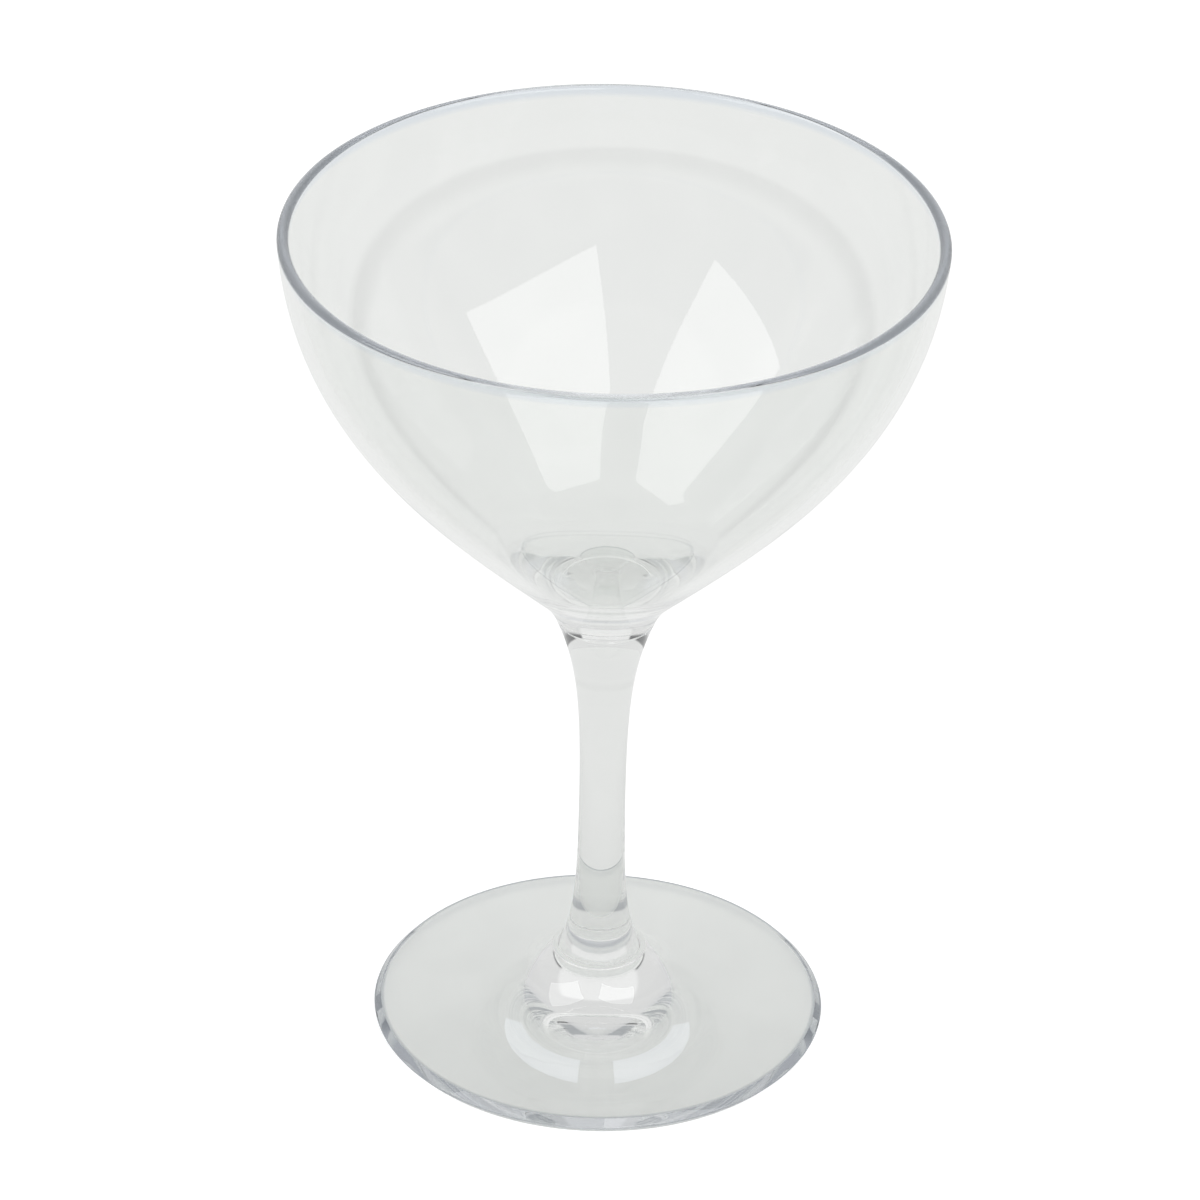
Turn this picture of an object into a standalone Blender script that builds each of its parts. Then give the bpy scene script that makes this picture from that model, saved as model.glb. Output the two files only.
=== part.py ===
"""A clear plastic martini glass: a thin bowl, a solid stem and a flat round foot.

Metres, +Z up. The three mouldings are turned about the Z axis and stand on z = 0.
The stem has a spigot at each end, which is bonded into a socket in the bowl's base
and into a socket in the foot's hub.
"""
import math

import bmesh
import bpy
from mathutils import Vector

# Bowl
GLASS_HEIGHT = 0.1547
RIM_RADIUS = 0.0560
BOWL_WALL = 0.0020
RIM_LEAN = math.radians(3.9)
RIM_REACH = 0.0281
CONE_ANGLE = math.radians(46.3)
CONE_REACH = 0.0318
BASE_THICKNESS = 0.0108
FLOOR_RADIUS = 0.0195
FLOOR_CORNER_REACH = 0.0060
FLOOR_REACH = 0.0095

# Neck, where the stem carries the bowl
NECK_HEIGHT = 0.0804
NECK_RADIUS = 0.00854
NECK_ANGLE = math.radians(21.8)
NECK_FILLET = 0.0166
NECK_SPIGOT_RADIUS = 0.0050
NECK_SPIGOT_LENGTH = 0.0060

# Stem
NECK_REACH = 0.0101
WAIST_HEIGHT = 0.0450
WAIST_RADIUS = 0.00405
WAIST_REACH_UP = 0.0180
WAIST_REACH_DOWN = 0.0201
ANKLE_REACH = 0.0060
SPIGOT_CHAMFER = 0.0005

# Foot
HUB_HEIGHT = 0.0137
HUB_RADIUS = 0.00743
HUB_LEDGE = 0.0009
HUB_ANGLE = math.radians(27.6)
HUB_REACH = 0.0082
LEDGE_CHAMFER = 0.0003
HUB_SPIGOT_RADIUS = 0.0045
HUB_SPIGOT_LENGTH = 0.0075
FOOT_RADIUS = 0.03965
EDGE_HALF_HEIGHT = 0.00135
EDGE_BEVEL = 0.00125
EDGE_TIP = 0.0003
FOOT_SLOPE = math.radians(4.7)
FOOT_REACH = 0.0193

# Gap that the bond fills all round a spigot and between the shoulders
BOND_GAP = 0.0003

# Facets round the axis and along each curve
BOWL_STEPS = 72
STEM_STEPS = 40
FOOT_STEPS = 72
WALL_POINTS = 12
CURVE_POINTS = 8
ARC_POINTS = 4
WELD_DISTANCE = 0.00001

SMOOTH_LIMIT = math.radians(30)
CLEAR_PLASTIC = (0.90, 0.92, 0.91, 1.0)
PLASTIC_ROUGHNESS = 0.03
PLASTIC_IOR = 1.54


def clear_scene():
    for obj in list(bpy.data.objects):
        bpy.data.objects.remove(obj, do_unlink=True)


def clear_plastic(name):
    """Transparent moulded plastic with a polished face."""
    material = bpy.data.materials.new(name)
    material.use_nodes = True
    shader = material.node_tree.nodes["Principled BSDF"]
    shader.inputs["Base Color"].default_value = CLEAR_PLASTIC
    shader.inputs["Roughness"].default_value = PLASTIC_ROUGHNESS
    shader.inputs["Metallic"].default_value = 0.0
    shader.inputs["IOR"].default_value = PLASTIC_IOR
    shader.inputs["Transmission Weight"].default_value = 1.0
    return material


def shares(count):
    """The shares from 0 to 1 of a stretch in count equal parts."""
    return [index / count for index in range(count + 1)]


def downward(angle):
    """The direction of a side that runs down and in at this angle from upright."""
    return Vector((-math.sin(angle), -math.cos(angle)))


def bezier(start, start_handle, end_handle, end, share):
    """The point and the unit direction at this share of a cubic curve."""
    first = start.lerp(start_handle, share)
    second = start_handle.lerp(end_handle, share)
    third = end_handle.lerp(end, share)
    before = first.lerp(second, share)
    after = second.lerp(third, share)
    return before.lerp(after, share), (after - before).normalized()


def curve(start, start_handle, end_handle, end, count=CURVE_POINTS):
    """Points along a cubic curve, both ends included."""
    return [bezier(start, start_handle, end_handle, end, s)[0] for s in shares(count)]


def arc(centre, radius, first_angle, last_angle):
    """Points round an arc, both ends included, with angles from the radial direction."""
    points = []
    for share in shares(ARC_POINTS):
        angle = first_angle + (last_angle - first_angle) * share
        points.append(centre + radius * Vector((math.cos(angle), math.sin(angle))))
    return points


def turned(name, profile, steps):
    """A solid of revolution about +Z from (radius, height) points that start and end on the axis."""
    solid = bmesh.new()
    points = [solid.verts.new((radius, 0.0, height)) for radius, height in profile]
    edges = [solid.edges.new(pair) for pair in zip(points, points[1:])]
    bmesh.ops.spin(
        solid,
        geom=points + edges,
        cent=(0.0, 0.0, 0.0),
        axis=(0.0, 0.0, 1.0),
        angle=math.tau,
        steps=steps,
        use_merge=True,
    )
    bmesh.ops.remove_doubles(solid, verts=solid.verts, dist=WELD_DISTANCE)
    bmesh.ops.recalc_face_normals(solid, faces=solid.faces)
    mesh = bpy.data.meshes.new(name)
    solid.to_mesh(mesh)
    solid.free()
    mesh.shade_smooth()
    mesh.set_sharp_from_angle(angle=SMOOTH_LIMIT)
    mesh.materials.append(clear_plastic(name + "_clear_plastic"))
    obj = bpy.data.objects.new(name, mesh)
    bpy.context.scene.collection.objects.link(obj)
    return obj


def socket(radius, mouth, floor):
    """The axis, floor and wall of a blind socket, from its floor to its mouth."""
    wall = radius + BOND_GAP
    return [Vector((0.0, floor)), Vector((wall, floor)), Vector((wall, mouth))]


def spigot(radius, shoulder, end):
    """The axis, chamfered end and wall of a spigot, from its end to its shoulder."""
    corner = SPIGOT_CHAMFER if end > shoulder else -SPIGOT_CHAMFER
    return [
        Vector((0.0, end)),
        Vector((radius - SPIGOT_CHAMFER, end)),
        Vector((radius, end - corner)),
        Vector((radius, shoulder)),
    ]


def neck_fillet_points():
    """The hollow curve under the bowl, from the cone down to the neck, with the neck at height 0."""
    centre = Vector((NECK_RADIUS, 0.0)) + NECK_FILLET * Vector((math.cos(NECK_ANGLE), -math.sin(NECK_ANGLE)))
    return arc(centre, NECK_FILLET, math.pi - CONE_ANGLE, math.pi - NECK_ANGLE)


def wall_curve(cone_end):
    """The outside of the bowl as a cubic curve, from under the lip down to the cone."""
    lip = BOWL_WALL / 2
    lip_centre = Vector((RIM_RADIUS - lip, GLASS_HEIGHT - NECK_HEIGHT - lip))
    start = lip_centre + lip * Vector((math.cos(RIM_LEAN), -math.sin(RIM_LEAN)))
    start_handle = start + RIM_REACH * downward(RIM_LEAN)
    end_handle = cone_end - CONE_REACH * downward(CONE_ANGLE)
    return lip_centre, (start, start_handle, end_handle, cone_end)


def inner_wall(outside, share):
    """The inside of the bowl one wall thickness from its outside, and the wall's direction there."""
    point, direction = bezier(*outside, share)
    outward = Vector((-direction.y, direction.x))
    return point - BOWL_WALL * outward, direction


def share_at_floor(outside):
    """The share of the wall, found by halving, at which its inside has come in to the floor's edge."""
    low, high = 0.0, 1.0
    while high - low > 0.0001:
        middle = (low + high) / 2
        if inner_wall(outside, middle)[0].x > FLOOR_RADIUS:
            low = middle
        else:
            high = middle
    return low


def bowl_profile():
    """Floor, inside, lip, outside, neck and socket, with the neck at height 0."""
    fillet = neck_fillet_points()
    lip_centre, outside = wall_curve(fillet[0])
    last = share_at_floor(outside)
    inside = [inner_wall(outside, last * share)[0] for share in shares(WALL_POINTS)]
    floor_edge, direction = inner_wall(outside, last)
    floor_centre = Vector((0.0, BASE_THICKNESS))
    floor_handle = Vector((FLOOR_REACH, BASE_THICKNESS))
    floor = curve(floor_centre, floor_handle, floor_edge + FLOOR_CORNER_REACH * direction, floor_edge)
    lip = arc(lip_centre, BOWL_WALL / 2, math.pi - RIM_LEAN, -RIM_LEAN)
    wall = curve(*outside, count=WALL_POINTS)
    base = socket(NECK_SPIGOT_RADIUS, 0.0, NECK_SPIGOT_LENGTH)
    return floor + inside[-2:0:-1] + lip + wall[1:] + fillet[1:] + base[::-1]


def stem_profile():
    """Upper spigot, outside and lower spigot, with the foot's joint at height 0."""
    top = NECK_HEIGHT - BOND_GAP - HUB_HEIGHT
    shoulder = Vector((NECK_RADIUS, top))
    waist = Vector((WAIST_RADIUS, WAIST_HEIGHT - HUB_HEIGHT))
    ankle = Vector((HUB_RADIUS, 0.0))
    upper = curve(
        shoulder,
        shoulder + NECK_REACH * downward(NECK_ANGLE),
        waist + Vector((0.0, WAIST_REACH_UP)),
        waist,
    )
    lower = curve(
        waist,
        waist - Vector((0.0, WAIST_REACH_DOWN)),
        ankle - ANKLE_REACH * downward(-HUB_ANGLE),
        ankle,
    )
    head = spigot(NECK_SPIGOT_RADIUS, top, top + NECK_SPIGOT_LENGTH)
    tail = spigot(HUB_SPIGOT_RADIUS, 0.0, -HUB_SPIGOT_LENGTH)
    return head + upper + lower[1:] + tail[::-1]


def edge_points():
    """The foot's edge from its top to its underside: a bevel, a blunt tip at half height and a bevel."""
    brink = FOOT_RADIUS - EDGE_BEVEL
    return [
        Vector((brink, 2 * EDGE_HALF_HEIGHT)),
        Vector((FOOT_RADIUS, EDGE_HALF_HEIGHT + EDGE_TIP / 2)),
        Vector((FOOT_RADIUS, EDGE_HALF_HEIGHT - EDGE_TIP / 2)),
        Vector((brink, 0.0)),
    ]


def foot_profile():
    """Socket, ledge, hub, top, bevelled edge and flat underside, with the table at height 0."""
    hub = HUB_HEIGHT - BOND_GAP
    ledge = Vector((HUB_RADIUS + HUB_LEDGE - LEDGE_CHAMFER, hub))
    shoulder = ledge + Vector((LEDGE_CHAMFER, -LEDGE_CHAMFER))
    edge = edge_points()
    top = curve(
        shoulder,
        shoulder + HUB_REACH * downward(-HUB_ANGLE),
        edge[0] + FOOT_REACH * Vector((-math.cos(FOOT_SLOPE), math.sin(FOOT_SLOPE))),
        edge[0],
        count=WALL_POINTS,
    )
    base = socket(HUB_SPIGOT_RADIUS, hub, hub - HUB_SPIGOT_LENGTH)
    return base + [ledge] + top + edge[1:] + [Vector((0.0, 0.0))]


def build():
    clear_scene()
    glass = bpy.data.objects.new("martini_glass", None)
    bpy.context.scene.collection.objects.link(glass)
    foot = turned("foot", foot_profile(), FOOT_STEPS)
    stem = turned("stem", stem_profile(), STEM_STEPS)
    stem.location.z = HUB_HEIGHT
    bowl = turned("bowl", bowl_profile(), BOWL_STEPS)
    bowl.location.z = NECK_HEIGHT
    for piece in (foot, stem, bowl):
        piece.parent = glass


build()
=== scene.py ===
# %% [markdown]
# A clear plastic martini glass stands on a white sheet in soft light. It is three mouldings, a thin
# bowl, a solid stem and a flat foot, bonded end to end. The imported CAD model is loaded first as a fixed
# frame, and every piece made here takes the place of one of its solids. The box of the solids is kept,
# and the pieces are sized from it.

# %% Load the frame
import math

import bpy
from mathutils import Matrix, Vector


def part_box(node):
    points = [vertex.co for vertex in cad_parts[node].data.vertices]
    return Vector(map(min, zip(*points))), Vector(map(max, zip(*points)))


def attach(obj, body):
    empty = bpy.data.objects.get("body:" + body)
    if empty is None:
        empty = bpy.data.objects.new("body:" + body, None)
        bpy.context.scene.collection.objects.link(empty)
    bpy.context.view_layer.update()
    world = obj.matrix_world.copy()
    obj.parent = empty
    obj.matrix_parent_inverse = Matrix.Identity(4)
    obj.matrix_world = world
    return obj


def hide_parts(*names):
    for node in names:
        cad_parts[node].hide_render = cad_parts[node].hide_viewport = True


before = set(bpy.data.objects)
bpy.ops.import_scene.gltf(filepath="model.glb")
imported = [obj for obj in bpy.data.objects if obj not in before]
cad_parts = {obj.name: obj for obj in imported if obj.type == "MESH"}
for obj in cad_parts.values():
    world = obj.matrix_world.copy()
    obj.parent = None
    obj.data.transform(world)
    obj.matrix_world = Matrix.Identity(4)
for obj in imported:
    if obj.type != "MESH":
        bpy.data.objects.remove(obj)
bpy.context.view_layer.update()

bowl_low, bowl_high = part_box("bowl")
foot_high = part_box("foot")[1]
stem_low, stem_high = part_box("stem")
print("frame loaded:", ", ".join(sorted(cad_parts)))

# %% [markdown]
# The camera comes first, because every later choice is judged through it. A far camera with a long
# lens keeps the rim, the stem and the foot in nearly the same scale, as product pictures do. It looks
# down by about 31 degrees, and it is rolled by one degree, because the glass leans a little in the
# frame.

# %% Camera
CAMERA_PLACE = Vector((0.0, -1.0000, 0.6812))
CAMERA_HEADING = math.radians(0.064)
CAMERA_TILT = math.radians(59.147)
CAMERA_ROLL = math.radians(1.215)
CAMERA_LENS_MM = 204.29
SENSOR_MM = 36.0

camera_data = bpy.data.cameras.new("camera")
camera_data.sensor_width = SENSOR_MM
camera_data.lens = CAMERA_LENS_MM
camera = bpy.data.objects.new("camera", camera_data)
camera.matrix_world = (
    Matrix.Translation(CAMERA_PLACE)
    @ Matrix.Rotation(CAMERA_HEADING, 4, "Z")
    @ Matrix.Rotation(CAMERA_TILT, 4, "X")
    @ Matrix.Rotation(CAMERA_ROLL, 4, "Z")
)
bpy.context.scene.collection.objects.link(camera)
bpy.context.scene.camera = camera
print("camera:", f"{CAMERA_LENS_MM:.0f} mm lens, {CAMERA_PLACE.length:.2f} m from the foot")

# %% [markdown]
# Shader trees and geometry trees are both built of nodes. One small function adds a node: it sets the
# node's own options, then the values of its sockets, then the links into it. Colours are written as
# the hex values that a picture editor shows, and another function turns them into the linear light
# that Blender reckons with.

# %% Helpers for nodes and colours
def add_node(tree, kind, values=None, links=None, **options):
    """Add one node with its options, socket values and incoming links."""
    made = tree.nodes.new(kind)
    for name, value in options.items():
        setattr(made, name, value)
    for socket, value in (values or {}).items():
        made.inputs[socket].default_value = value
    for socket, source in (links or {}).items():
        tree.links.new(source, made.inputs[socket])
    return made


def linear_colour(hex_value):
    """An sRGB colour such as #F2F4F3 as linear red, green, blue and alpha."""
    channels = [int(hex_value[i:i + 2], 16) / 255 for i in (1, 3, 5)]
    return [c / 12.92 if c <= 0.04045 else ((c + 0.055) / 1.055) ** 2.4 for c in channels] + [1.0]


print("helpers: add_node, linear_colour")

# %% [markdown]
# The skin of all three pieces is clear copolyester from a polished mould. It could be painted with
# haze and highlights, but what the eye knows as clear plastic is bent and mirrored light, so the
# Principled shader has full transmission and the plastic's own index. The walls are thin and almost
# without colour, and the tint drifts a little, as the melt flowed. Two places get painted shade in the
# base colour: the bead at the lip is painted a pale blue-grey and the upper bevel of the foot's edge a
# deeper grey. This painted shade stands in for light that runs a long way inside the plastic there. A
# few specks of dust are dull spots in the gloss. Real specks are finer, and these are drawn coarse enough
# to show.

# %% Clear moulded copolyester
MM = 0.001
PLASTIC_IOR = 1.54
FLOW_WAVE_MM = 9.0
DUST_SPACING_MM = 20.0
DUST_SIZE_MM = 0.35
DUST_ROUGHNESS = 0.3
THIN_PALE = "#FCFDFC"
THIN_DEEP = "#F8F9F8"
# Painted shade: the lip bead and the foot's upper bevel are painted darker in the base colour, for light
# lost on long paths inside the plastic.
LIP_PAINTED_SHADE = "#EAEFF5"
FOOT_EDGE_PAINTED_SHADE = "#B9BEC4"
FOOT_EDGE_SHADE_MM = 1.0
PAINTED_SHADE_FADE = 1.5
WALL = 2.0 * MM
EDGE_HALF = 1.35 * MM

lip_radius = WALL / 2
lip_centre = Vector((bowl_high.x - lip_radius, 0.0, bowl_high.z - lip_radius))
bevel_middle = Vector((foot_high.x - EDGE_HALF / 2, 0.0, 3 / 2 * EDGE_HALF))

plastic = bpy.data.materials.new("clear_copolyester_moulded")
plastic.use_nodes = True
tree = plastic.node_tree
shader = tree.nodes["Principled BSDF"]
shader.inputs["Transmission Weight"].default_value = 1.0
shader.inputs["IOR"].default_value = PLASTIC_IOR
place = add_node(tree, "ShaderNodeTexCoord").outputs["Object"]
flow = add_node(
    tree, "ShaderNodeTexNoise", {"Scale": 1 / (FLOW_WAVE_MM * MM), "Detail": 1.0}, {"Vector": place},
)
thin = add_node(tree, "ShaderNodeValToRGB", links={"Fac": flow.outputs["Fac"]})
thin.color_ramp.elements[0].color = linear_colour(THIN_DEEP)
thin.color_ramp.elements[1].color = linear_colour(THIN_PALE)
across = add_node(tree, "ShaderNodeVectorMath", {1: (1, 1, 0)}, {0: place}, operation="MULTIPLY")
radius = add_node(tree, "ShaderNodeVectorMath", links={0: across.outputs[0]}, operation="LENGTH")
height = add_node(tree, "ShaderNodeSeparateXYZ", links={"Vector": place})
section = add_node(
    tree, "ShaderNodeCombineXYZ", links={"X": radius.outputs["Value"], "Z": height.outputs["Z"]},
)
tint = thin.outputs["Color"]
# Painted shade is mixed into the base colour round the lip bead and the foot's upper bevel.
for ring, reach, ring_shade_colour in (
    (lip_centre, lip_radius, LIP_PAINTED_SHADE),
    (bevel_middle, FOOT_EDGE_SHADE_MM * MM, FOOT_EDGE_PAINTED_SHADE),
):
    away = add_node(
        tree, "ShaderNodeVectorMath", {1: ring}, {0: section.outputs[0]}, operation="DISTANCE",
    )
    painted_shade_mask = add_node(
        tree, "ShaderNodeMapRange",
        {"From Min": reach, "From Max": PAINTED_SHADE_FADE * reach, "To Min": 1.0, "To Max": 0.0},
        {"Value": away.outputs["Value"]}, interpolation_type="SMOOTHSTEP",
    )
    tint = add_node(
        tree, "ShaderNodeMix", {"B": linear_colour(ring_shade_colour)},
        {"Factor": painted_shade_mask.outputs["Result"], "A": tint}, data_type="RGBA",
    ).outputs["Result"]
dust = add_node(tree, "ShaderNodeTexVoronoi", {"Scale": 1 / (DUST_SPACING_MM * MM)}, {"Vector": place})
dusty = add_node(
    tree, "ShaderNodeMapRange",
    {
        "From Min": 0.0, "From Max": DUST_SIZE_MM / DUST_SPACING_MM,
        "To Min": DUST_ROUGHNESS, "To Max": 0.0,
    },
    {"Value": dust.outputs["Distance"]},
)
tree.links.new(tint, shader.inputs["Base Color"])
tree.links.new(dusty.outputs["Result"], shader.inputs["Roughness"])
print("material:", plastic.name)

# %% [markdown]
# Where two mouldings are bonded, the bond fills the joint with the same plastic, so light crosses it
# without bending. A gap of air there would flash like a mirror inside the neck. The bonded faces stay
# in the mesh, so that each piece is a closed body, and their shader shows nothing at all.

# %% Bonded faces
bond_face = bpy.data.materials.new("clear_bond_cured")
bond_face.use_nodes = True
bond_tree = bond_face.node_tree
bond_tree.nodes.clear()
through = add_node(bond_tree, "ShaderNodeBsdfTransparent")
add_node(bond_tree, "ShaderNodeOutputMaterial", links={"Surface": through.outputs["BSDF"]})
print("material:", bond_face.name)

# %% [markdown]
# Every piece is round, so half of its outline says everything about it. The outline is drawn as a
# Bezier curve from the axis out and back to the axis, and a tree of geometry nodes turns it, as a lathe
# does. A Spin or a Screw modifier could do that too, but it would lose count of which rows belong to a
# joint. The tree starts with named inputs, so that one lathe serves all three pieces.

# %% Lathe: its inputs
lathe = bpy.data.node_groups.new("turned_moulding", "GeometryNodeTree")
for socket_name, socket_kind in (
    ("Outline", "NodeSocketGeometry"),
    ("Steps Round", "NodeSocketInt"),
    ("Bonded Rows At Start", "NodeSocketInt"),
    ("Bonded Rows At End", "NodeSocketInt"),
    ("Skin", "NodeSocketMaterial"),
    ("Bond", "NodeSocketMaterial"),
):
    lathe.interface.new_socket(socket_name, in_out="INPUT", socket_type=socket_kind)
lathe.interface.new_socket("Moulding", in_out="OUTPUT", socket_type="NodeSocketGeometry")
given = add_node(lathe, "NodeGroupInput").outputs
print("lathe inputs:", ", ".join(socket.name for socket in given if socket.name))

# %% [markdown]
# A flat grid is laid out with one row for each point of the outline and one column for each step round.
# Each point of the grid then looks up its own point of the outline and is turned about the axis by its
# share of a full turn.

# %% Lathe: rows, columns and turning
drawn = add_node(
    lathe, "GeometryNodeResampleCurve", links={"Curve": given["Outline"]}, mode="EVALUATED",
)
size = add_node(
    lathe, "GeometryNodeAttributeDomainSize",
    links={"Geometry": drawn.outputs["Curve"]}, component="CURVE",
)
columns = add_node(
    lathe, "FunctionNodeIntegerMath", {1: 1}, {0: given["Steps Round"]}, operation="ADD",
)
grid = add_node(
    lathe, "GeometryNodeMeshGrid",
    links={"Vertices X": size.outputs["Point Count"], "Vertices Y": columns.outputs[0]},
)
index = add_node(lathe, "GeometryNodeInputIndex")
row = add_node(
    lathe, "FunctionNodeIntegerMath",
    links={0: index.outputs[0], 1: columns.outputs[0]}, operation="DIVIDE_FLOOR",
)
column = add_node(
    lathe, "FunctionNodeIntegerMath",
    links={0: index.outputs[0], 1: columns.outputs[0]}, operation="MODULO",
)
share = add_node(
    lathe, "ShaderNodeMath", links={0: column.outputs[0], 1: given["Steps Round"]}, operation="DIVIDE",
)
angle = add_node(lathe, "ShaderNodeMath", {1: math.tau}, {0: share.outputs[0]}, operation="MULTIPLY")
position = add_node(lathe, "GeometryNodeInputPosition")
outline_point = add_node(
    lathe, "GeometryNodeSampleIndex",
    links={"Geometry": drawn.outputs["Curve"], "Value": position.outputs[0], "Index": row.outputs[0]},
    data_type="FLOAT_VECTOR", domain="POINT",
)
turned_point = add_node(
    lathe, "ShaderNodeVectorRotate",
    links={"Vector": outline_point.outputs[0], "Angle": angle.outputs[0]}, rotation_type="Z_AXIS",
)
kept_row = lathe.nodes.new("GeometryNodeCaptureAttribute")
kept_row.capture_items.new("FLOAT", "Row")
lathe.links.new(grid.outputs["Mesh"], kept_row.inputs["Geometry"])
lathe.links.new(row.outputs[0], kept_row.inputs["Row"])
placed = add_node(
    lathe, "GeometryNodeSetPosition",
    links={"Geometry": kept_row.outputs["Geometry"], "Position": turned_point.outputs[0]},
)
print("lathe turns the outline:", len(lathe.nodes), "nodes so far")

# %% [markdown]
# Merging by distance closes the seam, where the last column meets the first, and the poles on the axis.
# Everything is shaded smooth except true corners. The row numbers, which were kept before the points
# moved, then tell the faces of a joint from the skin, and each gets its own material.

# %% Lathe: closing, corners and materials
WELD = 0.001 * MM
CORNER = math.radians(30)

closed = add_node(
    lathe, "GeometryNodeMergeByDistance", {"Distance": WELD}, {"Geometry": placed.outputs[0]},
)
smooth = add_node(
    lathe, "GeometryNodeSetShadeSmooth", links={"Geometry": closed.outputs[0]}, domain="FACE",
)
edge_angle = add_node(lathe, "GeometryNodeInputMeshEdgeAngle")
corner = add_node(
    lathe, "FunctionNodeCompare", {1: CORNER}, {0: edge_angle.outputs["Unsigned Angle"]},
    data_type="FLOAT", operation="GREATER_THAN",
)
crisp = add_node(
    lathe, "GeometryNodeSetShadeSmooth", {"Shade Smooth": False},
    {"Geometry": smooth.outputs[0], "Selection": corner.outputs[0]}, domain="EDGE",
)
last_row = add_node(
    lathe, "FunctionNodeIntegerMath",
    links={0: size.outputs["Point Count"], 1: given["Bonded Rows At End"]}, operation="SUBTRACT",
)
last_free = add_node(
    lathe, "FunctionNodeIntegerMath", {1: 1}, {0: last_row.outputs[0]}, operation="SUBTRACT",
)
at_start = add_node(
    lathe, "FunctionNodeCompare", links={0: kept_row.outputs["Row"], 1: given["Bonded Rows At Start"]},
    data_type="FLOAT", operation="LESS_THAN",
)
at_end = add_node(
    lathe, "FunctionNodeCompare", links={0: kept_row.outputs["Row"], 1: last_free.outputs[0]},
    data_type="FLOAT", operation="GREATER_THAN",
)
bonded = add_node(
    lathe, "FunctionNodeBooleanMath",
    links={0: at_start.outputs[0], 1: at_end.outputs[0]}, operation="OR",
)
real = add_node(lathe, "GeometryNodeRealizeInstances", links={"Geometry": crisp.outputs[0]})
skinned = add_node(
    lathe, "GeometryNodeSetMaterial", links={"Geometry": real.outputs[0], "Material": given["Skin"]},
)
dressed = add_node(
    lathe, "GeometryNodeSetMaterial",
    links={
        "Geometry": skinned.outputs[0], "Selection": bonded.outputs[0], "Material": given["Bond"],
    },
)
add_node(lathe, "NodeGroupOutput", links={"Moulding": dressed.outputs[0]})
print("lathe finished:", len(lathe.nodes), "nodes")

# %% [markdown]
# An outline is a list of stretches. A stretch of two points is straight, as inside a joint. A stretch
# of four points is a curve with its two handles. Three small helpers give a direction, a point and a
# round, so that the pieces below read like a drawing with sizes.

# %% Helpers for an outline
def downward(angle):
    """The direction of a side that runs down and in at this angle from upright."""
    return Vector((-math.sin(angle), 0.0, -math.cos(angle)))


def spot(radius, height):
    """A point of an outline, at this radius and height."""
    return Vector((radius, 0.0, height))


def arc(centre, radius, first_angle, last_angle):
    """One curved stretch round an arc of up to a quarter turn, angles from the radial direction."""
    reach = radius * 4 / 3 * math.tan((last_angle - first_angle) / 4)
    ends = []
    for angle, side in ((first_angle, reach), (last_angle, -reach)):
        point = centre + radius * spot(math.cos(angle), math.sin(angle))
        ends.append((point, point + side * spot(-math.sin(angle), math.cos(angle))))
    return ends[0][0], ends[0][1], ends[1][1], ends[1][0]


print("outline helpers: downward, spot, arc")

# %% [markdown]
# The curve object is drawn, turned by the lathe and made a plain mesh, and the curve is thrown away.
# Straight stretches get vector handles, which Blender draws with no points between, so all the fineness
# goes into the curves that bend light. The rows are fine because each facet of a clear body shows as a
# flaw in what is seen through it.

# %% Drawing and turning
POINTS_PER_CURVE = 64
STEPS_ROUND = 224


def draw_outline(name, stretches):
    """A Bezier curve object along the stretches, which run on from each other."""
    data = bpy.data.curves.new(name, "CURVE")
    data.dimensions = "3D"
    spline = data.splines.new("BEZIER")
    spline.resolution_u = POINTS_PER_CURVE
    knots = spline.bezier_points
    knots.add(len(stretches))
    for knot in knots:
        knot.handle_left_type = "FREE"
        knot.handle_right_type = "FREE"
    for before, after, stretch in zip(knots, knots[1:], stretches):
        before.co = stretch[0]
        after.co = stretch[-1]
        if len(stretch) == 2:
            before.handle_right_type = "VECTOR"
            after.handle_left_type = "VECTOR"
        else:
            before.handle_right = stretch[1]
            after.handle_left = stretch[2]
    outline = bpy.data.objects.new(name, data)
    bpy.context.scene.collection.objects.link(outline)
    return outline


def turn(name, node, stretches, skin, bonded_at_start, bonded_at_end):
    """Turn an outline into a closed moulding, and let it stand for a node of the CAD model."""
    outline = draw_outline(name + "_outline", stretches)
    modifier = outline.modifiers.new("lathe", "NODES")
    modifier.node_group = lathe
    inputs = {
        "Steps Round": STEPS_ROUND,
        "Bonded Rows At Start": bonded_at_start,
        "Bonded Rows At End": bonded_at_end,
        "Skin": skin,
        "Bond": bond_face,
    }
    for item in lathe.interface.items_tree:
        if item.name in inputs:
            modifier[item.identifier] = inputs[item.name]
    graph = bpy.context.evaluated_depsgraph_get()
    mesh = bpy.data.meshes.new_from_object(outline.evaluated_get(graph), depsgraph=graph)
    mesh.materials.pop(index=0)
    bpy.data.objects.remove(outline, do_unlink=True)
    piece = bpy.data.objects.new(name, mesh)
    bpy.context.scene.collection.objects.link(piece)
    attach(piece, "root")
    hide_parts(node)
    print(name, len(mesh.polygons), "faces, materials", [m.name for m in mesh.materials])


print("outline and lathe ready:", POINTS_PER_CURVE, "points a curve,", STEPS_ROUND, "steps round")

# %% [markdown]
# The bowl is a thin shell: nearly upright under the lip, and a straight cone lower down. One curve
# with the right angle at each end gives that, and a second one, a wall thickness further in, gives the
# inside. The lip is fully rounded, because nobody drinks from a sharp edge. Under the round floor of
# the inside the plastic is thick, and that lens gathers the crescents over the neck. The outside stops
# a quarter of a millimetre short of the joint, and the small bevel there, with its mirror image on the
# stem, is the fine groove that a bonded joint leaves.

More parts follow.
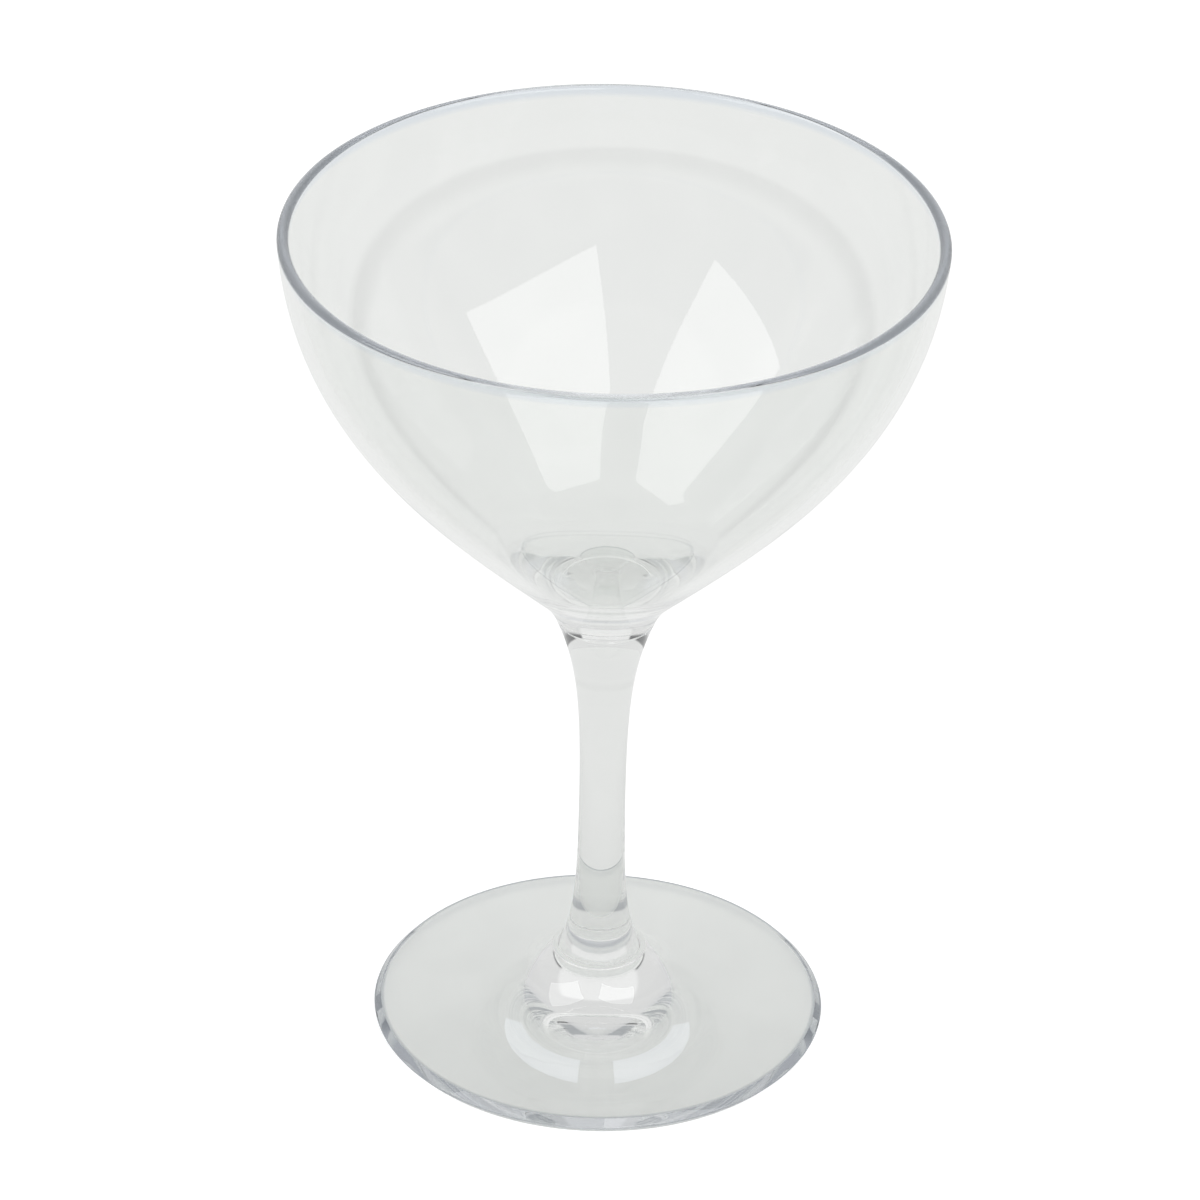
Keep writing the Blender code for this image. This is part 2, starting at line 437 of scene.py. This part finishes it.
# %% Bowl
RIM_LEAN = math.radians(3.9)
RIM_REACH = 28.1 * MM
CONE_ANGLE = math.radians(46.3)
CONE_REACH = 31.8 * MM
INSIDE_RIM_REACH = 24.4 * MM
INSIDE_CONE_REACH = 25.4 * MM
INSIDE_CONE_ANGLE = math.radians(45.86)
FLOOR_EDGE = spot(19.5 * MM, 95.74 * MM)
FLOOR_HEIGHT = 91.2 * MM
FLOOR_CORNER_REACH = 6.0 * MM
FLOOR_REACH = 9.5 * MM
NECK_RADIUS = 8.54 * MM
NECK_ANGLE = math.radians(21.8)
NECK_FILLET = 16.6 * MM
NECK_SPIGOT_RADIUS = 5.0 * MM
SEAM = 0.25 * MM

neck_height = bowl_low.z
neck_spigot_top = stem_high.z
lip_inner = arc(lip_centre, lip_radius, math.pi - RIM_LEAN, math.pi / 2)
lip_outer = arc(lip_centre, lip_radius, math.pi / 2, -RIM_LEAN)
neck = spot(NECK_RADIUS, neck_height)
fillet_centre = neck + NECK_FILLET * spot(math.cos(NECK_ANGLE), -math.sin(NECK_ANGLE))
seam_turn = SEAM / NECK_FILLET
fillet = arc(fillet_centre, NECK_FILLET, math.pi - CONE_ANGLE, math.pi - NECK_ANGLE - seam_turn)
neck_seam = neck - spot(SEAM, 0.0)
turn(
    "clear_bowl",
    "bowl",
    [
        (
            spot(0.0, FLOOR_HEIGHT),
            spot(FLOOR_REACH, FLOOR_HEIGHT),
            FLOOR_EDGE + FLOOR_CORNER_REACH * downward(INSIDE_CONE_ANGLE),
            FLOOR_EDGE,
        ),
        (
            FLOOR_EDGE,
            FLOOR_EDGE - INSIDE_CONE_REACH * downward(INSIDE_CONE_ANGLE),
            lip_inner[0] + INSIDE_RIM_REACH * downward(RIM_LEAN),
            lip_inner[0],
        ),
        lip_inner,
        lip_outer,
        (
            lip_outer[3],
            lip_outer[3] + RIM_REACH * downward(RIM_LEAN),
            fillet[0] - CONE_REACH * downward(CONE_ANGLE),
            fillet[0],
        ),
        fillet,
        (fillet[3], neck_seam),
        (neck_seam, spot(NECK_SPIGOT_RADIUS, neck_height)),
        (spot(NECK_SPIGOT_RADIUS, neck_height), spot(NECK_SPIGOT_RADIUS, neck_spigot_top)),
        (spot(NECK_SPIGOT_RADIUS, neck_spigot_top), spot(0.0, neck_spigot_top)),
    ],
    plastic,
    bonded_at_start=0,
    bonded_at_end=3,
)

# %% [markdown]
# The stem is solid. It flares at both ends to meet its neighbours at their own angle, so the side runs
# on past the groove of each joint, and it is slimmest near half its height. A spigot at each end sits
# in a socket, which keeps the glass upright while the bond cures. Light crosses ten millimetres of
# plastic here and only two in the bowl, so the stem has a copy of the plastic with a tint that is a
# little deeper.

# %% Stem
THICK_PALE = "#F5F6F5"
THICK_DEEP = "#F1F2F1"
NECK_REACH = 10.1 * MM
WAIST = spot(4.05 * MM, 45.0 * MM)
WAIST_REACH_UP = 18.0 * MM
WAIST_REACH_DOWN = 20.1 * MM
ANKLE_REACH = 6.0 * MM
HUB_RADIUS = 7.43 * MM
HUB_ANGLE = math.radians(27.6)
HUB_SPIGOT_RADIUS = 4.5 * MM

ankle = spot(HUB_RADIUS, foot_high.z)
ankle_seam = ankle - spot(SEAM, 0.0)
stem_top = neck + SEAM * downward(NECK_ANGLE)
stem_foot = ankle - SEAM * downward(-HUB_ANGLE)
hub_spigot_end = stem_low.z
thick_plastic = plastic.copy()
thick_plastic.name = "clear_copolyester_moulded_thick"
thick = thick_plastic.node_tree.nodes[thin.name]
thick.color_ramp.elements[0].color = linear_colour(THICK_DEEP)
thick.color_ramp.elements[1].color = linear_colour(THICK_PALE)
turn(
    "clear_stem",
    "stem",
    [
        (spot(0.0, neck_spigot_top), spot(NECK_SPIGOT_RADIUS, neck_spigot_top)),
        (spot(NECK_SPIGOT_RADIUS, neck_spigot_top), spot(NECK_SPIGOT_RADIUS, neck_height)),
        (spot(NECK_SPIGOT_RADIUS, neck_height), neck_seam),
        (neck_seam, stem_top),
        (
            stem_top,
            neck + NECK_REACH * downward(NECK_ANGLE),
            WAIST + spot(0.0, WAIST_REACH_UP),
            WAIST,
        ),
        (
            WAIST,
            WAIST - spot(0.0, WAIST_REACH_DOWN),
            ankle - ANKLE_REACH * downward(-HUB_ANGLE),
            stem_foot,
        ),
        (stem_foot, ankle_seam),
        (ankle_seam, spot(HUB_SPIGOT_RADIUS, ankle.z)),
        (spot(HUB_SPIGOT_RADIUS, ankle.z), spot(HUB_SPIGOT_RADIUS, hub_spigot_end)),
        (spot(HUB_SPIGOT_RADIUS, hub_spigot_end), spot(0.0, hub_spigot_end)),
    ],
    thick_plastic,
    bonded_at_start=3,
    bonded_at_end=3,
)

# %% [markdown]
# The foot is a disc that swells into a hub under the stem. The hub is a little wider than the end of
# the stem, so a narrow ledge runs round the joint, and it draws the bright ring there. The underside is
# flat and polished, and it mirrors the hub from within. The edge has two bevels that meet in a blunt
# tip at half height, which is where the two halves of the mould part. The upper one bends light to the
# eye and the lower one mirrors it from within, so the edge shows both bright and dark lines.

# %% Foot
HUB_REACH = 8.2 * MM
HUB_LEDGE = 0.9 * MM
LEDGE_ROUND = 0.3 * MM
EDGE_BEVEL = 1.25 * MM
NOSE_ROUND = 0.3 * MM
FOOT_SLOPE = math.radians(4.7)
FOOT_REACH = 19.3 * MM

edge_nose = spot(foot_high.x, EDGE_HALF)
edge_top = edge_nose + spot(-EDGE_BEVEL, EDGE_HALF)
edge_bottom = spot(edge_top.x, 0.0)
hub_top = spot(HUB_RADIUS + HUB_LEDGE, ankle.z - LEDGE_ROUND)
turn(
    "clear_foot",
    "foot",
    [
        (spot(0.0, hub_spigot_end), spot(HUB_SPIGOT_RADIUS, hub_spigot_end)),
        (spot(HUB_SPIGOT_RADIUS, hub_spigot_end), spot(HUB_SPIGOT_RADIUS, ankle.z)),
        (spot(HUB_SPIGOT_RADIUS, ankle.z), ankle_seam),
        (
            ankle_seam,
            ankle_seam + spot(HUB_LEDGE, 0.0),
            hub_top - LEDGE_ROUND * downward(-HUB_ANGLE),
            hub_top,
        ),
        (
            hub_top,
            hub_top + HUB_REACH * downward(-HUB_ANGLE),
            edge_top + FOOT_REACH * spot(-math.cos(FOOT_SLOPE), math.sin(FOOT_SLOPE)),
            edge_top,
        ),
        (edge_top, edge_nose + spot(-NOSE_ROUND, NOSE_ROUND)),
        (
            edge_nose + spot(-NOSE_ROUND, NOSE_ROUND),
            edge_nose,
            edge_nose,
            edge_nose + spot(-NOSE_ROUND, -NOSE_ROUND),
        ),
        (edge_nose + spot(-NOSE_ROUND, -NOSE_ROUND), edge_bottom),
        (edge_bottom, spot(0.0, 0.0)),
    ],
    plastic,
    bonded_at_start=3,
    bonded_at_end=0,
)

# %% [markdown]
# The glass stands on a pale grey sheet. In a product picture the sheet round the object is whitened
# afterwards, but inside the clear plastic its grey stays, and that grey is what draws the glass. So
# there are two sheets here: the camera sees only the white one, and the plastic sees only the grey one.
# Cycles has a switch on each object for that, so no picture has to be cut out. Both are matt board, and
# its tooth is drawn coarser than on real board, so that it can show.

# %% Floor
WHITE_SIDE = 5.0
GREY_SIDE = 1.6
FLOOR_DROP = 0.05 * MM
BOARD_TOOTH_MM = 0.8
BOARD_ROUGHNESS = 0.9
WHITE_TINTS = ("#F0F0EF", "#F3F3F2")
GREY_TINTS = ("#E0E1DF", "#E3E4E2")
WHITE_GLOW = 0.5
GREY_GLOW_FRONT = 0.15


def lay_sheet(name, side, drop, tints, glow):
    """A square sheet of matt board under the glass, which glows a little like a light table."""
    board = bpy.data.materials.new(name + "_board_matt")
    board.use_nodes = True
    tree = board.node_tree
    shader = tree.nodes["Principled BSDF"]
    shader.inputs["Roughness"].default_value = BOARD_ROUGHNESS
    shader.inputs["Specular IOR Level"].default_value = 0.0
    shader.inputs["Emission Color"].default_value = (1.0, 1.0, 1.0, 1.0)
    shader.inputs["Emission Strength"].default_value = glow
    place = add_node(tree, "ShaderNodeTexCoord")
    tooth = add_node(
        tree, "ShaderNodeTexNoise",
        {"Scale": 1 / (BOARD_TOOTH_MM * MM)}, {"Vector": place.outputs["Object"]},
    )
    tint = add_node(tree, "ShaderNodeValToRGB", links={"Fac": tooth.outputs["Fac"]})
    for element, hex_value in zip(tint.color_ramp.elements, tints):
        element.color = linear_colour(hex_value)
    tree.links.new(tint.outputs["Color"], shader.inputs["Base Color"])
    mesh = bpy.data.meshes.new(name)
    half = side / 2
    mesh.from_pydata(
        [(-half, -half, -drop), (half, -half, -drop), (half, half, -drop), (-half, half, -drop)],
        [],
        [(0, 1, 2, 3)],
    )
    mesh.materials.append(board)
    sheet = bpy.data.objects.new(name, mesh)
    bpy.context.scene.collection.objects.link(sheet)
    print(name, side, "m square")
    return sheet


white_sheet = lay_sheet("white_sheet", WHITE_SIDE, FLOOR_DROP, WHITE_TINTS, WHITE_GLOW)
white_sheet.visible_diffuse = False
white_sheet.visible_glossy = False
white_sheet.visible_transmission = False
white_sheet.visible_shadow = False
grey_sheet = lay_sheet("grey_sheet", GREY_SIDE, 2 * FLOOR_DROP, GREY_TINTS, GREY_GLOW_FRONT)
grey_sheet.visible_camera = False

# %% [markdown]
# Under the glass the grey sheet is dimmer than behind it, because a sheet that curves up to a lit wall
# gets more light towards the back. A glow that rises with depth is enough for that.

# %% Brighter towards the back
GREY_GLOW_BACK = 0.31
GLOW_FRONT_Y = -0.04
GLOW_BACK_Y = 0.07

grey_tree = grey_sheet.active_material.node_tree
along = add_node(grey_tree, "ShaderNodeTexCoord")
depth = add_node(grey_tree, "ShaderNodeSeparateXYZ", links={"Vector": along.outputs["Object"]})
brighter = add_node(
    grey_tree, "ShaderNodeMapRange",
    {
        "From Min": GLOW_FRONT_Y, "From Max": GLOW_BACK_Y,
        "To Min": GREY_GLOW_FRONT, "To Max": GREY_GLOW_BACK,
    },
    {"Value": depth.outputs["Y"]},
)
grey_board = grey_tree.nodes["Principled BSDF"]
grey_tree.links.new(brighter.outputs["Result"], grey_board.inputs["Emission Strength"])
print("grey sheet: glow from", GREY_GLOW_FRONT, "to", GREY_GLOW_BACK)

# %% [markdown]
# Clear plastic shows nothing of its own: it shows what is round it. Two large softboxes stand to the
# right and left of the camera, and the inside of the bowl mirrors them as two pale wedges. A strip high
# up behind is mirrored by the slope of the foot as a bluish crescent. They are set to show in mirrored
# light only, because a lamp seen through the thick hub would be a hard white patch.

# %% Lamps
# Each lamp has its place, the point it faces, its width and height in metres, its brightness and tint.
SOFTBOXES = {
    "softbox_right": ((0.385, -0.436, 0.88), (0.0, 0.0, 0.73), (0.87, 0.59), 2.1, "#FFFFFF"),
    "softbox_left": ((-0.77, -0.27, 1.04), (0.0, 0.0, 0.57), (1.0, 0.75), 2.1, "#FFFFFF"),
    "strip_behind": ((0.0, 0.85, 1.089), (0.0, 0.0, 0.0), (0.8, 0.147), 2.0, "#E8EEFF"),
}

for light_name, (light_place, light_aim, (wide, tall), brightness, tint) in SOFTBOXES.items():
    light_data = bpy.data.lights.new(light_name, "AREA")
    light_data.shape = "RECTANGLE"
    light_data.size = wide
    light_data.size_y = tall
    light_data.energy = brightness * math.pi * wide * tall
    light_data.color = linear_colour(tint)[:3]
    light = bpy.data.objects.new(light_name, light_data)
    light.location = light_place
    light.visible_diffuse = False
    light.visible_transmission = False
    light.rotation_mode = "QUATERNION"
    light.rotation_quaternion = (Vector(light_aim) - light.location).to_track_quat("-Z", "Y")
    bpy.context.scene.collection.objects.link(light)
print("lamps:", ", ".join(SOFTBOXES))

# %% [markdown]
# The room gives the soft light and everything that is seen through the plastic. It could be a picture
# of a studio, but a few broad zones are enough, each laid over the ones before it. The backdrop is the
# brightest, and its image stands in the hub. Three zones are dark: one is a low band all round, one
# lies at the sides and one beside the camera. They draw the dark sides of the neck and of the lip, the
# dark spots over the lower joint and the dark line at the sides of the foot. They count only for light
# that came through the plastic, so that they leave no hard patch in the reflections on the bowl.

# %% Room
# Each zone has the headings between which it fades in (1 is straight behind the glass, -1 is the side
# of the camera), the heights between which it fades in and out (0 is level, 1 is straight up), its
# tint, and whether it counts only for light that came through the plastic.
ANY_HEADING = (-3.0, -2.0)
ANY_TOP = (3.0, 2.0)
LEVEL = (-0.02, 0.0)
ROOM = {
    "low walls": (ANY_HEADING, LEVEL, ANY_TOP, "#616163", True),
    "walls": (ANY_HEADING, (0.04, 0.14), ANY_TOP, "#DDDDDE", False),
    "dark side": ((-0.78, -0.83), (0.29, 0.34), (0.64, 0.60), "#37424C", True),
    "dark corners": ((-0.05, -0.25), (0.14, 0.20), (0.70, 0.66), "#ABAEB1", True),
    "wall behind": ((0.62, 0.72), (0.04, 0.14), ANY_TOP, "#DFDFDF", False),
    "backdrop": ((0.92, 0.94), LEVEL, (0.61, 0.58), "#F1F1F1", False),
}
BELOW_LEVEL = "#E9E9E9"

room = bpy.data.worlds.new("room")
room.use_nodes = True
bpy.context.scene.world = room
room_tree = room.node_tree
towards = add_node(room_tree, "ShaderNodeTexCoord").outputs["Generated"]
flat = add_node(room_tree, "ShaderNodeVectorMath", {1: (1, 1, 0)}, {0: towards}, operation="MULTIPLY")
heading = add_node(room_tree, "ShaderNodeVectorMath", links={0: flat.outputs[0]}, operation="NORMALIZE")
back = add_node(room_tree, "ShaderNodeSeparateXYZ", links={"Vector": heading.outputs[0]}).outputs["Y"]
up = add_node(room_tree, "ShaderNodeSeparateXYZ", links={"Vector": towards}).outputs["Z"]
came_through = add_node(room_tree, "ShaderNodeLightPath").outputs["Is Transmission Ray"]
below = add_node(room_tree, "ShaderNodeRGB")
below.outputs["Color"].default_value = linear_colour(BELOW_LEVEL)
room_tint = below.outputs["Color"]
for headings, bottom, top, zone_tint, through_only in ROOM.values():
    shares = [came_through] if through_only else []
    for value, (first, last) in ((back, headings), (up, bottom), (up, top)):
        ramp = add_node(
            room_tree, "ShaderNodeMapRange", {"From Min": first, "From Max": last}, {"Value": value},
            interpolation_type="SMOOTHSTEP",
        )
        shares.append(ramp.outputs["Result"])
    zone = shares[0]
    for other in shares[1:]:
        both = add_node(room_tree, "ShaderNodeMath", links={0: zone, 1: other}, operation="MULTIPLY")
        zone = both.outputs[0]
    room_tint = add_node(
        room_tree, "ShaderNodeMix", {"B": linear_colour(zone_tint)}, {"Factor": zone, "A": room_tint},
        data_type="RGBA",
    ).outputs["Result"]
room_tree.links.new(room_tint, room_tree.nodes["Background"].inputs["Color"])
print("room:", ", ".join(ROOM))

# %% [markdown]
# Light goes through many faces of clear plastic before it is lost, and a short limit would leave black
# patches in the rim and the neck. The picture is shown with the plain display curve, so that white
# board stays white.

# %% Light paths and display
MOST_BOUNCES = 100

scene = bpy.context.scene
scene.cycles.max_bounces = MOST_BOUNCES
scene.cycles.transmission_bounces = MOST_BOUNCES
scene.cycles.glossy_bounces = MOST_BOUNCES
scene.cycles.transparent_max_bounces = MOST_BOUNCES
scene.cycles.blur_glossy = 0.0
scene.view_settings.view_transform = "Standard"
print("light paths: up to", MOST_BOUNCES, "bounces")
